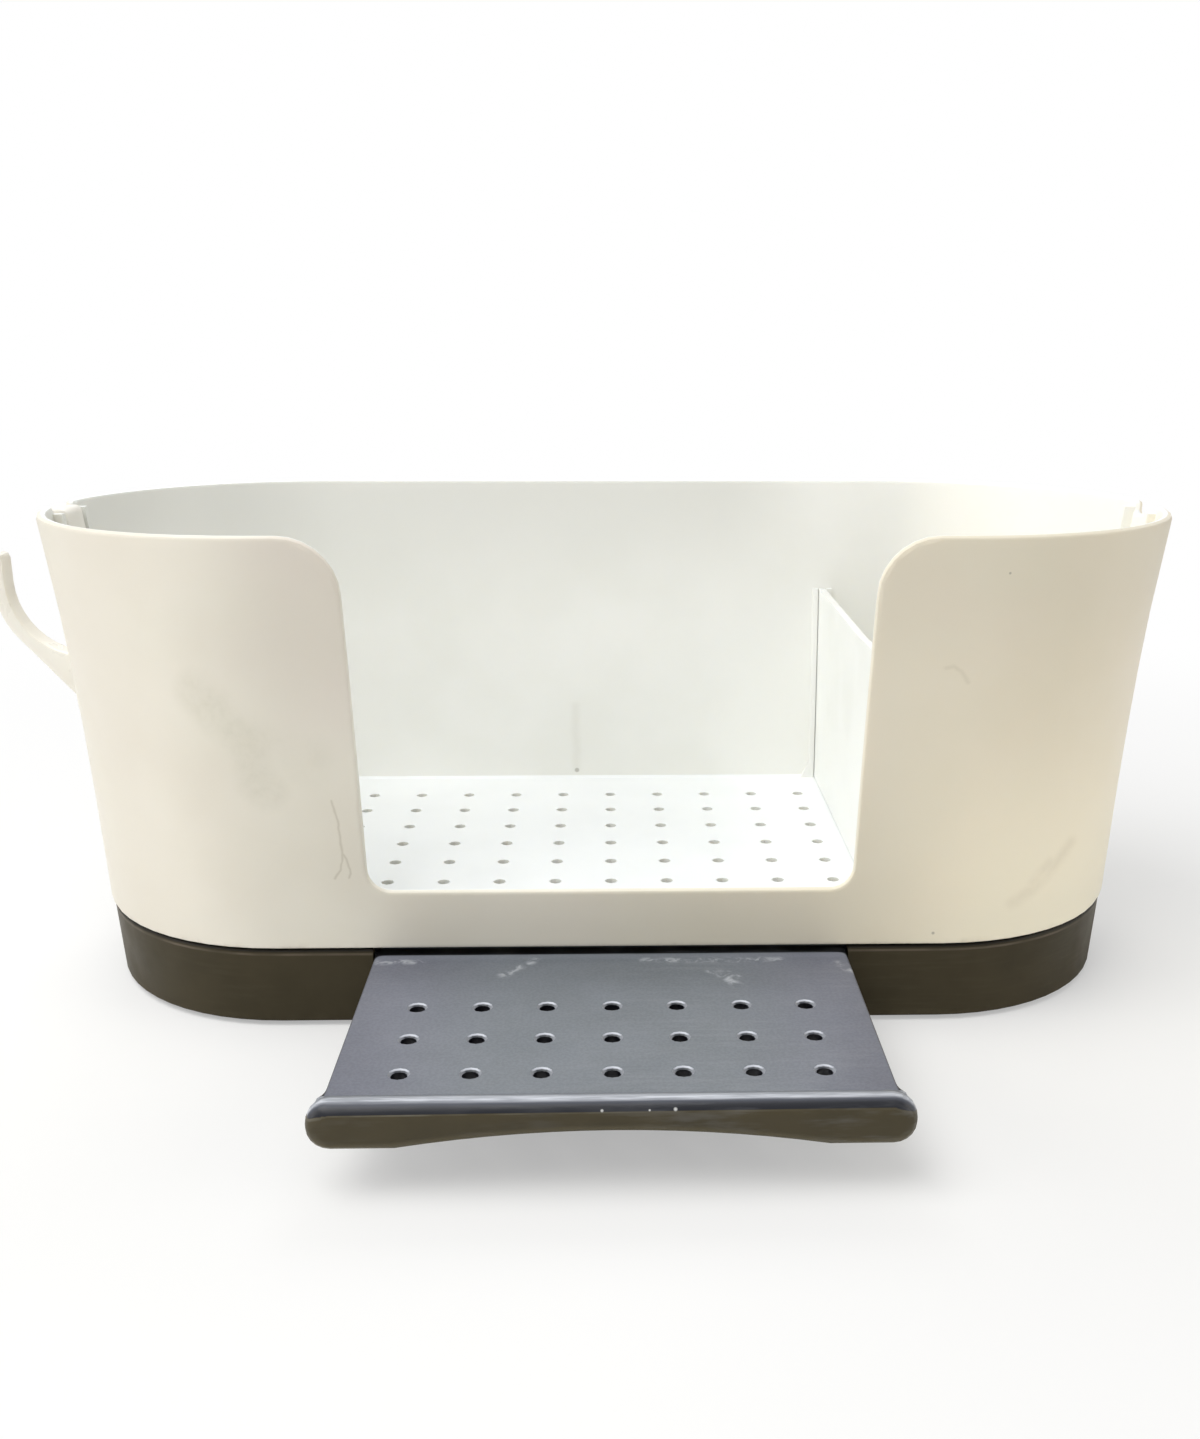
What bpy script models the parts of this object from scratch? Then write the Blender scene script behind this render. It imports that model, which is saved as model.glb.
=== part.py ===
"""Kitchen sink organizer: a white tapered tub with an open front, standing on a
grey base with a pull-out drained tray. All sizes are in metres, +Z is up, the
origin is the centre of the base's flat underside, and -Y is the open front."""
import math

import bmesh
import bpy
from mathutils import Matrix, Vector

MM = 0.001

# Plan: every level is a stadium, two half circles on one straight pair
ARC_CENTRE_X = 80.2 * MM
BASE_ARC_STEPS = 15
FLOOR_ARC_STEPS = 13
WALL_ARC_STEPS = 13

# Heights
BASE_HEIGHT = 19.5 * MM
TUB_SEAT_GAP = 0.3 * MM
FLOOR_ABOVE_SEAM = 9.8 * MM
RIM_ABOVE_FLOOR = 90.1 * MM

# Tub
TUB_SEAM_RADIUS = 53.8 * MM
TUB_RIM_RADIUS = 62.1 * MM
TUB_WALL = 2.4 * MM
TUB_FLOOR = 2.4 * MM
TUB_EDGE_ROUND = 1.05 * MM
FLARE_SHARE = 0.4
FLARE_POWER = 3
RING_LEVEL_SHARES = (0.28, 0.46, 0.62, 0.76)
FLOOR_CHAMFER = 0.7 * MM

# Front opening in the tub
OPENING_ABOVE_FLOOR = 5.2 * MM
OPENING_HALF_BOTTOM = 57.6 * MM
OPENING_HALF_TOP = 59.1 * MM
OPENING_LOWER_RADIUS = 5.6 * MM
OPENING_UPPER_RADIUS = 13.3 * MM
OPENING_ARC_STEPS = 7

# Drain holes in the tub floor
DRAIN_PITCH = 14.0 * MM
DRAIN_RADIUS = 1.6 * MM
DRAIN_COLUMNS = 13
DRAIN_ROWS = 6
DRAIN_SIDES = 8

# Skirt under the tub that drops inside the base
SPIGOT_GAP = 0.4 * MM
SPIGOT_WALL = 1.8 * MM
SPIGOT_DEPTH = 5.5 * MM
SPIGOT_HALF_ANGLE = math.radians(57)
SPIGOT_STEPS = 12

# Hook seats in the rim, one at each end
SEAT_HALF_WIDTH = 7.0 * MM
SEAT_DEPTH = 3.2 * MM
SEAT_CORNER_RADIUS = 1.5 * MM
SEAT_ARC_STEPS = 3
SEAT_RIB_WIDTH = 2.2 * MM
SEAT_RIB_PROUD = 3.0 * MM
SEAT_RIB_LENGTH = 24.0 * MM
SEAT_RIB_DROP = 1.5 * MM

# Divider and the ribs that guide it
DIVIDER_X = 64.2 * MM
DIVIDER_THICKNESS = 2.0 * MM
DIVIDER_ABOVE_FLOOR = 58.4 * MM
DIVIDER_FRONT_RISE = 1.6 * MM
DIVIDER_RISE_START_Y = -17.0 * MM
DIVIDER_GAP = 0.2 * MM
DIVIDER_EDGE_ROUND = 0.2 * MM
GUIDE_RIB_WIDTH = 1.6 * MM
GUIDE_RIB_PROUD = 1.0 * MM
GUIDE_FOOT_SPREAD = 2.4 * MM
GUIDE_FOOT_HEIGHT = 5.0 * MM

# Hook that hangs over the rim at the left end
HOOK_GAP = 0.3 * MM
HOOK_STRAP = 2.2 * MM
HOOK_INNER_LEG_DROP = 20.0 * MM
HOOK_LEG_DROP = 53.0 * MM
HOOK_BEND_RADIUS = 1.6 * MM
HOOK_BEND_STEPS = 4
HOOK_ARM_WIDTH = 6.4 * MM
HOOK_ARM_THICKNESS = 3.4 * MM
HOOK_ARM_RADIUS = 18.8 * MM
HOOK_ARM_REACH = 17.3 * MM
HOOK_ARM_RISE = 6.2 * MM
HOOK_ARM_CENTRE_DROP = 20.2 * MM
HOOK_ARM_STEPS = 10
HOOK_GUSSET_ANGLE = math.radians(-36)
HOOK_EDGE_ROUND = 0.6 * MM

# Base
BASE_STEP_IN = 0.6 * MM
BASE_TAPER = 1.2 * MM
BASE_WALL = 2.4 * MM
BASE_FLOOR = 2.4 * MM
BASE_LOWER_ROUND = 0.8 * MM
BASE_UPPER_ROUND = 0.8 * MM
BASE_INNER_CHAMFER = 1.5 * MM
BASE_ROUND_STEPS = 3

# Pull-out tray
TRAY_TOP_BELOW_SEAM = 1.7 * MM
TRAY_PLATE = 2.6 * MM
TRAY_HALF_WIDTH = 56.9 * MM
TRAY_TRAVEL = 64.8 * MM
TRAY_CLOSED_GAP = 1.4 * MM
TRAY_HELD_LENGTH = 30.0 * MM
TRAY_REAR_RADIUS = 5.0 * MM
TRAY_EDGE_ROUND = 0.7 * MM
TRAY_HOLE_RADIUS = 1.75 * MM
TRAY_HOLE_CHAMFER = 0.6 * MM
TRAY_HOLE_COLUMNS = 7
TRAY_HOLE_ROWS = 3
TRAY_HOLE_PITCH_X = 14.4 * MM
TRAY_HOLE_PITCH_Y = 14.8 * MM
TRAY_HOLE_SETBACK = 8.4 * MM
TRAY_HOLE_SIDES = 12

# Pull bar along the tray's front
BAR_HALF_WIDTH = 59.8 * MM
BAR_DEPTH = 6.6 * MM
BAR_RIDGE = 1.2 * MM
BAR_HEIGHT = 10.0 * MM
BAR_CORNER_RADIUS = 4.8 * MM
BAR_EDGE_ROUND = 2.6 * MM
BAR_FLARE_LENGTH = 3.5 * MM
GRIP_HALF_WIDTH = 42.5 * MM
GRIP_RISE = 3.4 * MM
GRIP_STEPS = 14
BAR_ARC_STEPS = 5

# Channels in the base that carry the tray, and the stops on the tray
SLIDE_GAP = 0.3 * MM
SLIDE_SIDE_GAP = 0.5 * MM
STOP_PROUD = 2.0 * MM
STOP_LENGTH = 4.0 * MM
CHANNEL_WALL = 2.0 * MM
CHANNEL_SHELF = 6.0 * MM
CHANNEL_LIP_OVERLAP = 1.4 * MM
CHANNEL_LIP = 1.4 * MM
CHANNEL_REAR_GAP = 3.0 * MM

# Feet
FOOT_RADIUS = 7.0 * MM
FOOT_PROUD = 1.2 * MM
FOOT_SOCKET = 1.3 * MM
FOOT_GAP = 0.3 * MM
FOOT_INSET_X = 40.0 * MM
FOOT_INSET_Y = 24.0 * MM
FOOT_SIDES = 20
FOOT_EDGE_ROUND = 0.4 * MM

# One overrun for every cut and every overlap between joined shapes
OVERRUN = 1.0 * MM
WELD = 0.01 * MM

# Levels and radii that follow from the sizes above
SEAM_Z = BASE_HEIGHT + TUB_SEAT_GAP
FLOOR_Z = SEAM_Z + FLOOR_ABOVE_SEAM
RIM_Z = FLOOR_Z + RIM_ABOVE_FLOOR
OPENING_Z = FLOOR_Z + OPENING_ABOVE_FLOOR
SEAT_Z = RIM_Z - SEAT_DEPTH
DIVIDER_TOP_Z = FLOOR_Z + DIVIDER_ABOVE_FLOOR
BASE_TOP_RADIUS = TUB_SEAM_RADIUS - BASE_STEP_IN
BASE_BOTTOM_RADIUS = BASE_TOP_RADIUS - BASE_TAPER
TRAY_TOP_Z = SEAM_Z - TRAY_TOP_BELOW_SEAM
TRAY_UNDER_Z = TRAY_TOP_Z - TRAY_PLATE
BAR_TOP_Z = TRAY_TOP_Z + BAR_RIDGE
BAR_BOTTOM_Z = BAR_TOP_Z - BAR_HEIGHT
BAR_BACK_Y = -(BASE_TOP_RADIUS + TRAY_CLOSED_GAP + TRAY_TRAVEL)
TRAY_REAR_Y = BAR_BACK_Y + TRAY_TRAVEL + TRAY_HELD_LENGTH
HALF_TURN = math.pi
SMOOTH_BELOW = math.radians(40)
ROUND_ABOVE = math.radians(60)

collection = None
cutters = None


def clear_scene():
    for item in list(bpy.data.objects):
        bpy.data.objects.remove(item, do_unlink=True)


def new_collection(name):
    made = bpy.data.collections.new(name)
    bpy.context.scene.collection.children.link(made)
    return made


def plastic(name, colour, roughness, metallic=0.0):
    material = bpy.data.materials.new(name)
    material.use_nodes = True
    shader = material.node_tree.nodes["Principled BSDF"]
    shader.inputs["Base Color"].default_value = (*colour, 1.0)
    shader.inputs["Roughness"].default_value = roughness
    shader.inputs["Metallic"].default_value = metallic
    material.diffuse_color = (*colour, 1.0)
    return material


def add_object(name, bm, origin=(0, 0, 0), material=None, helper=False):
    """Turn a bmesh in world space into an object whose origin is at origin."""
    bmesh.ops.translate(bm, verts=bm.verts, vec=-Vector(origin))
    mesh = bpy.data.meshes.new(name)
    bm.to_mesh(mesh)
    bm.free()
    made = bpy.data.objects.new(name, mesh)
    made.location = origin
    if helper:
        cutters.objects.link(made)
        made.hide_render = True
        made.display_type = "WIRE"
    else:
        collection.objects.link(made)
        mesh.materials.append(material)
        mesh.shade_smooth()
        mesh.set_sharp_from_angle(angle=SMOOTH_BELOW)
    return made


def arc(centre, radius, start, end, steps):
    """Points on an arc in a plane, from angle start to angle end."""
    points = []
    for step in range(steps + 1):
        angle = start + (end - start) * step / steps
        points.append((centre[0] + radius * math.cos(angle), centre[1] + radius * math.sin(angle)))
    return points


def boolean(target, other, operation):
    modifier = target.modifiers.new(operation.lower() + "_" + other.name, "BOOLEAN")
    modifier.operation = operation
    modifier.solver = "EXACT"
    modifier.object = other
    return modifier


def bevel(target, width, segments):
    modifier = target.modifiers.new("rounded_edges", "BEVEL")
    modifier.width = width
    modifier.segments = segments
    modifier.limit_method = "ANGLE"
    modifier.angle_limit = ROUND_ABOVE
    modifier.use_clamp_overlap = False
    return modifier


def box_mesh(low, high):
    bm = bmesh.new()
    bmesh.ops.create_cube(bm, size=1.0)
    size = Vector(high) - Vector(low)
    middle = (Vector(high) + Vector(low)) / 2
    place = Matrix.Translation(middle) @ Matrix.Diagonal((*size, 1.0))
    bmesh.ops.transform(bm, verts=bm.verts, matrix=place)
    return bm


def helper_box(name, low, high):
    return add_object(name, box_mesh(low, high), helper=True)


def prism_mesh(outline, axis, start, end):
    """Extrude a closed outline between two places along X, Y or Z."""
    return add_prism(bmesh.new(), outline, axis, start, end)


def add_prism(bm, outline, axis, start, end):
    """Add an extruded outline to a mesh and return the mesh."""
    places = {
        "X": lambda point, along: (along, point[0], point[1]),
        "Y": lambda point, along: (point[0], along, point[1]),
        "Z": lambda point, along: (point[0], point[1], along),
    }
    first = bm.faces.new([bm.verts.new(places[axis](point, start)) for point in outline])
    swept = bmesh.ops.extrude_face_region(bm, geom=[first])
    moved = [item for item in swept["geom"] if isinstance(item, bmesh.types.BMVert)]
    direction = Vector(places[axis]((0, 0), end - start))
    bmesh.ops.translate(bm, verts=moved, vec=direction)
    bmesh.ops.recalc_face_normals(bm, faces=bm.faces)
    return bm


def stadium_solid(bm, profile, steps):
    """Sweep a closed (radius, height) profile round one quarter of the stadium.

    The profile starts and ends on the arc's own axis. The quarter is open on
    the planes x = 0 and y = 0, where a Mirror modifier closes it."""
    verts = [bm.verts.new((ARC_CENTRE_X + radius, 0, height)) for radius, height in profile]
    edges = [bm.edges.new(pair) for pair in zip(verts, verts[1:])]
    axis_point = (ARC_CENTRE_X, 0, 0)
    swept = bmesh.ops.spin(bm, geom=verts + edges, cent=axis_point, axis=(0, 0, 1),
                           angle=HALF_TURN / 2, steps=steps)
    last = [item for item in swept["geom_last"] if isinstance(item, bmesh.types.BMEdge)]
    straight = bmesh.ops.extrude_edge_only(bm, edges=last)
    moved = [item for item in straight["geom"] if isinstance(item, bmesh.types.BMVert)]
    bmesh.ops.translate(bm, verts=moved, vec=(-ARC_CENTRE_X, 0, 0))
    bmesh.ops.remove_doubles(bm, verts=bm.verts, dist=WELD)
    bmesh.ops.recalc_face_normals(bm, faces=bm.faces)
    return bm


def mirror_both(target):
    modifier = target.modifiers.new("both_sides", "MIRROR")
    modifier.use_axis = (True, True, False)
    modifier.merge_threshold = WELD
    return modifier


def flare_radius(height):
    """Outer radius of the tub's wall by its smooth formula."""
    share = (height - SEAM_Z) / (RIM_Z - SEAM_Z)
    curved = (1 - FLARE_SHARE) * share + FLARE_SHARE * share ** FLARE_POWER
    return TUB_SEAM_RADIUS + (TUB_RIM_RADIUS - TUB_SEAM_RADIUS) * curved


def ring_levels():
    inner = [SEAM_Z + (RIM_Z - SEAM_Z) * share for share in RING_LEVEL_SHARES]
    return [SEAM_Z] + inner + [RIM_Z]


def wall_radius(height):
    """Outer radius of the tub's wall, straight between its ring levels."""
    levels = ring_levels()
    for low, high in zip(levels, levels[1:]):
        if height <= high:
            break
    share = (height - low) / (high - low)
    return flare_radius(low) + (flare_radius(high) - flare_radius(low)) * share


def inner_radius(height):
    return wall_radius(height) - TUB_WALL


def base_radius(height):
    return BASE_BOTTOM_RADIUS + (BASE_TOP_RADIUS - BASE_BOTTOM_RADIUS) * height / BASE_HEIGHT


def wrap(along, height):
    """Place a point of the unrolled wall: along is 0 at the middle of the front
    and is measured at the rim."""
    radius = wall_radius(height)
    side = math.copysign(1.0, along)
    distance = abs(along)
    turn = HALF_TURN * TUB_RIM_RADIUS
    if distance <= ARC_CENTRE_X:
        return (along, -radius, height)
    if distance <= ARC_CENTRE_X + turn:
        angle = (distance - ARC_CENTRE_X) / TUB_RIM_RADIUS
        return (side * (ARC_CENTRE_X + radius * math.sin(angle)), -radius * math.cos(angle), height)
    return (side * (2 * ARC_CENTRE_X + turn - distance), radius, height)


def half_wall_top():
    """Upper edge of the unrolled wall from the front's middle to the back's."""
    turn = HALF_TURN * TUB_RIM_RADIUS
    quarter = HALF_TURN / 2
    lower_centre = (OPENING_HALF_BOTTOM - OPENING_LOWER_RADIUS, OPENING_Z + OPENING_LOWER_RADIUS)
    upper_centre = (OPENING_HALF_TOP + OPENING_UPPER_RADIUS, RIM_Z - OPENING_UPPER_RADIUS)
    points = arc(lower_centre, OPENING_LOWER_RADIUS, -quarter, 0, OPENING_ARC_STEPS)
    points += arc(upper_centre, OPENING_UPPER_RADIUS, HALF_TURN, quarter, OPENING_ARC_STEPS)
    seat = ARC_CENTRE_X + turn / 2
    outer = SEAT_HALF_WIDTH + SEAT_CORNER_RADIUS
    inner = SEAT_HALF_WIDTH - SEAT_CORNER_RADIUS
    upper = RIM_Z - SEAT_CORNER_RADIUS
    lower = SEAT_Z + SEAT_CORNER_RADIUS
    points += arc((seat - outer, upper), SEAT_CORNER_RADIUS, quarter, 0, SEAT_ARC_STEPS)
    points += arc((seat - inner, lower), SEAT_CORNER_RADIUS, HALF_TURN, HALF_TURN + quarter, SEAT_ARC_STEPS)
    points += arc((seat + inner, lower), SEAT_CORNER_RADIUS, -quarter, 0, SEAT_ARC_STEPS)
    points += arc((seat + outer, upper), SEAT_CORNER_RADIUS, HALF_TURN, quarter, SEAT_ARC_STEPS)
    points.append((2 * ARC_CENTRE_X + turn, RIM_Z))
    return points


def column_places():
    """Where the wall's facets meet round one end, kept clear of the seat's corners."""
    half_turn = HALF_TURN * TUB_RIM_RADIUS / 2
    seat = ARC_CENTRE_X + half_turn
    reach = half_turn - SEAT_HALF_WIDTH - 2 * SEAT_CORNER_RADIUS
    places = [ARC_CENTRE_X + reach * step / WALL_ARC_STEPS for step in range(WALL_ARC_STEPS + 1)]
    places.append(seat - (SEAT_HALF_WIDTH - SEAT_CORNER_RADIUS) / 2)
    return places + [2 * seat - place for place in reversed(places)]


def make_tub_wall():
    """The wall is drawn flat with its openings, scored, and wrapped round."""
    top = half_wall_top()
    half_length = top[-1][0]
    outline = [(-half_length, SEAM_Z), (half_length, SEAM_Z)]
    outline += list(reversed(top))
    outline += [(-along, height) for along, height in top]
    bm = bmesh.new()
    bm.faces.new([bm.verts.new((along, 0, height)) for along, height in outline])
    for place in column_places():
        for side in (-1, 1):
            score(bm, (side * place, 0, 0), (1, 0, 0))
    for height in ring_levels()[1:-1]:
        score(bm, (0, 0, height), (0, 0, 1))
    for vert in bm.verts:
        vert.co = wrap(vert.co.x, vert.co.z)
    bmesh.ops.remove_doubles(bm, verts=bm.verts, dist=WELD)
    return bm


def score(bm, point, normal):
    geometry = bm.verts[:] + bm.edges[:] + bm.faces[:]
    bmesh.ops.bisect_plane(bm, geom=geometry, plane_co=point, plane_no=normal, dist=WELD)


def make_tub_floor(name):
    """Drained floor, its edge sunk half way into the wall that carries it."""
    under = FLOOR_Z - TUB_FLOOR
    into_wall = TUB_WALL / 2
    edge = inner_radius(FLOOR_Z) + into_wall
    chamfer_start = inner_radius(FLOOR_Z) - FLOOR_CHAMFER
    chamfer_top = FLOOR_Z + FLOOR_CHAMFER + into_wall
    profile = [(0, under), (inner_radius(under) + into_wall, under), (edge, chamfer_top),
               (chamfer_start, FLOOR_Z), (0, FLOOR_Z)]
    floor = add_object(name, stadium_solid(bmesh.new(), profile, FLOOR_ARC_STEPS), helper=True)
    mirror_both(floor)
    drains = bmesh.new()
    for column in range(DRAIN_COLUMNS):
        for row in range(DRAIN_ROWS):
            x = (column - (DRAIN_COLUMNS - 1) / 2) * DRAIN_PITCH
            y = (row - (DRAIN_ROWS - 1) / 2) * DRAIN_PITCH
            place = Matrix.Translation((x, y, FLOOR_Z - TUB_FLOOR / 2))
            bmesh.ops.create_cone(drains, cap_ends=True, segments=DRAIN_SIDES, radius1=DRAIN_RADIUS,
                                  radius2=DRAIN_RADIUS, depth=TUB_FLOOR + 2 * OVERRUN, matrix=place)
    boolean(floor, add_object(name + "_drains", drains, helper=True), "DIFFERENCE")
    return floor


def add_spigot(bm, side):
    """Curved wall under one round end that locates the tub inside the base."""
    bottom = SEAM_Z - SPIGOT_DEPTH
    top = FLOOR_Z - TUB_FLOOR / 2
    outer = base_radius(bottom) - BASE_WALL - SPIGOT_GAP
    inner = outer - SPIGOT_WALL
    section = [(inner, bottom), (outer, bottom), (outer, top), (inner, top)]
    corners = [bm.verts.new((side * ARC_CENTRE_X + radius, 0, height)) for radius, height in section]
    face = bm.faces.new(corners)
    centre = (side * ARC_CENTRE_X, 0, 0)
    middle = 0 if side > 0 else HALF_TURN
    turned = Matrix.Rotation(middle - SPIGOT_HALF_ANGLE, 3, "Z")
    bmesh.ops.rotate(bm, verts=corners, cent=centre, matrix=turned)
    bmesh.ops.spin(bm, geom=[face], cent=centre, axis=(0, 0, 1), angle=2 * SPIGOT_HALF_ANGLE,
                   steps=SPIGOT_STEPS)


def add_guide_rib(bm, wall_side, plate_side):
    """Upright rib on the front or back wall beside the divider, with a flared foot."""
    near = DIVIDER_X + plate_side * (DIVIDER_THICKNESS / 2 + DIVIDER_GAP)
    far = near + plate_side * GUIDE_RIB_WIDTH
    foot = far + plate_side * GUIDE_FOOT_SPREAD
    bottom = FLOOR_Z - TUB_FLOOR / 2
    foot_top = FLOOR_Z + GUIDE_FOOT_HEIGHT
    outline = [(near, bottom), (foot, bottom), (foot, FLOOR_Z), (far, foot_top), (far, DIVIDER_TOP_Z),
               (near, DIVIDER_TOP_Z)]
    rib = prism_mesh(outline, "Y", -GUIDE_RIB_PROUD, TUB_WALL / 2)
    for height in ring_levels()[1:-1]:
        score(rib, (0, 0, height), (0, 0, 1))
    for vert in rib.verts:
        vert.co.y = wall_side * (vert.co.y + inner_radius(vert.co.z))
    copied = {vert: bm.verts.new(vert.co) for vert in rib.verts}
    for face in rib.faces:
        bm.faces.new([copied[vert] for vert in face.verts])
    rib.free()


def add_seat_rib(bm, end, side):
    """Short upright rib inside the rim, one on each side of a hook seat."""
    top = RIM_Z - SEAT_RIB_DROP
    bottom = top - SEAT_RIB_LENGTH
    near = side * SEAT_HALF_WIDTH
    far = near + side * SEAT_RIB_WIDTH
    out_top = ARC_CENTRE_X + inner_radius(top) - SEAT_RIB_PROUD
    out_bottom = ARC_CENTRE_X + inner_radius(bottom) - SEAT_RIB_PROUD
    depth = SEAT_RIB_PROUD + TUB_WALL / 2
    toe = out_bottom + depth
    outline = [(end * out_top, top), (end * (out_top + depth), top), (end * toe, bottom - SEAT_RIB_PROUD),
               (end * out_bottom, bottom)]
    add_prism(bm, outline, "Y", near, far)


def make_tub_details(name):
    """Spigots, divider guides and seat ribs: separate shapes in one helper."""
    bm = bmesh.new()
    for side in (-1, 1):
        add_spigot(bm, side)
    for wall_side in (-1, 1):
        for plate_side in (-1, 1):
            add_guide_rib(bm, wall_side, plate_side)
    for end in (-1, 1):
        for side in (-1, 1):
            add_seat_rib(bm, end, side)
    bmesh.ops.recalc_face_normals(bm, faces=bm.faces)
    return add_object(name, bm, helper=True)


def make_tub(material):
    tub = add_object("caddy_tub", make_tub_wall(), (0, 0, SEAM_Z), material)
    shell = tub.modifiers.new("wall_thickness", "SOLIDIFY")
    shell.thickness = TUB_WALL
    shell.offset = -1.0
    shell.use_even_offset = True
    bevel(tub, TUB_EDGE_ROUND, 2)
    boolean(tub, make_tub_floor("tub_floor"), "UNION")
    boolean(tub, make_tub_details("tub_details"), "UNION")
    return tub


def make_divider(material):
    low = FLOOR_Z + DIVIDER_GAP
    raised = DIVIDER_TOP_Z + DIVIDER_FRONT_RISE
    clear = FLOOR_CHAMFER + DIVIDER_GAP

    def reach(height):
        return inner_radius(height) - DIVIDER_GAP

    levels = [low + clear] + [height for height in ring_levels() if low + clear < height < DIVIDER_TOP_Z]
    outline = [(-reach(low) + clear, low), (reach(low) - clear, low)]
    outline += [(reach(height), height) for height in levels]
    outline += [(reach(DIVIDER_TOP_Z), DIVIDER_TOP_Z), (DIVIDER_RISE_START_Y, DIVIDER_TOP_Z),
                (-reach(raised), raised)]
    outline += [(-reach(height), height) for height in reversed(levels)]
    half = DIVIDER_THICKNESS / 2
    bm = prism_mesh(outline, "X", DIVIDER_X - half, DIVIDER_X + half)
    divider = add_object("divider", bm, (DIVIDER_X, 0, low), material)
    bevel(divider, DIVIDER_EDGE_ROUND, 2)
    return divider


def hook_strap_outline():
    """Side view of the strap, as (distance out from the middle, height)."""
    def outside(height, offset):
        return (ARC_CENTRE_X + wall_radius(height) + HOOK_GAP + offset, height)

    leg_radius = inner_radius(RIM_Z - HOOK_INNER_LEG_DROP)
    seat_sag = leg_radius - math.sqrt(leg_radius ** 2 - SEAT_HALF_WIDTH ** 2)

    def inside(height, offset):
        return (ARC_CENTRE_X + inner_radius(height) - HOOK_GAP - seat_sag - offset, height)

    under = SEAT_Z + HOOK_GAP
    top = under + HOOK_STRAP
    leg_bottom = RIM_Z - HOOK_LEG_DROP
    inner_bottom = RIM_Z - HOOK_INNER_LEG_DROP
    shoulder = top - HOOK_BEND_RADIUS
    quarter = HALF_TURN / 2
    levels = [height for height in ring_levels() if leg_bottom < height < shoulder]
    outer_x = outside(shoulder, HOOK_STRAP)[0] - HOOK_BEND_RADIUS
    inner_x = inside(shoulder, HOOK_STRAP)[0] + HOOK_BEND_RADIUS
    points = [outside(leg_bottom, 0)]
    points += [outside(height, 0) for height in levels]
    points += [outside(under, 0), inside(under, 0), inside(inner_bottom, 0)]
    points.append(inside(inner_bottom, HOOK_STRAP))
    points += arc((inner_x, shoulder), HOOK_BEND_RADIUS, HALF_TURN, quarter, HOOK_BEND_STEPS)
    points += arc((outer_x, shoulder), HOOK_BEND_RADIUS, quarter, 0, HOOK_BEND_STEPS)
    points += [outside(height, HOOK_STRAP) for height in reversed(levels)]
    points.append(outside(leg_bottom, HOOK_STRAP))
    return points


def hook_arm_outline():
    """Side view of the arm: a quarter round that thickens into a gusset."""
    leg_bottom = RIM_Z - HOOK_LEG_DROP
    root = ARC_CENTRE_X + wall_radius(leg_bottom) + HOOK_GAP + HOOK_STRAP / 2
    centre = (root + HOOK_ARM_REACH - HOOK_ARM_RADIUS, RIM_Z - HOOK_ARM_CENTRE_DROP)
    outer = HOOK_ARM_RADIUS + HOOK_ARM_THICKNESS
    tip = centre[1] + HOOK_ARM_RISE
    start = -math.acos((root - centre[0]) / HOOK_ARM_RADIUS)
    points = arc(centre, HOOK_ARM_RADIUS, start, 0, HOOK_ARM_STEPS)
    tip_radius = HOOK_ARM_THICKNESS / 2
    tip_x = centre[0] + HOOK_ARM_RADIUS + tip_radius
    points += arc((tip_x, tip), tip_radius, HALF_TURN, 0, HOOK_BEND_STEPS)
    points += arc(centre, outer, 0, HOOK_GUSSET_ANGLE, HOOK_ARM_STEPS // 2)
    points.append((root, leg_bottom + OVERRUN))
    return points


def make_hook(material):
    left = -1
    half_strap = SEAT_HALF_WIDTH - SEAT_CORNER_RADIUS
    strap_outline = [(left * out, height) for out, height in hook_strap_outline()]
    strap = prism_mesh(strap_outline, "Y", -half_strap, half_strap)
    place = (left * (ARC_CENTRE_X + TUB_RIM_RADIUS), 0, SEAT_Z)
    hook = add_object("side_hook", strap, place, material)
    bevel(hook, HOOK_EDGE_ROUND, 2)
    half_arm = HOOK_ARM_WIDTH / 2
    arm_outline = [(left * out, height) for out, height in hook_arm_outline()]
    arm = add_object("hook_arm", prism_mesh(arm_outline, "Y", -half_arm, half_arm), helper=True)
    bevel(arm, HOOK_EDGE_ROUND, 2)
    boolean(hook, arm, "UNION")
    return hook


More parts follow.
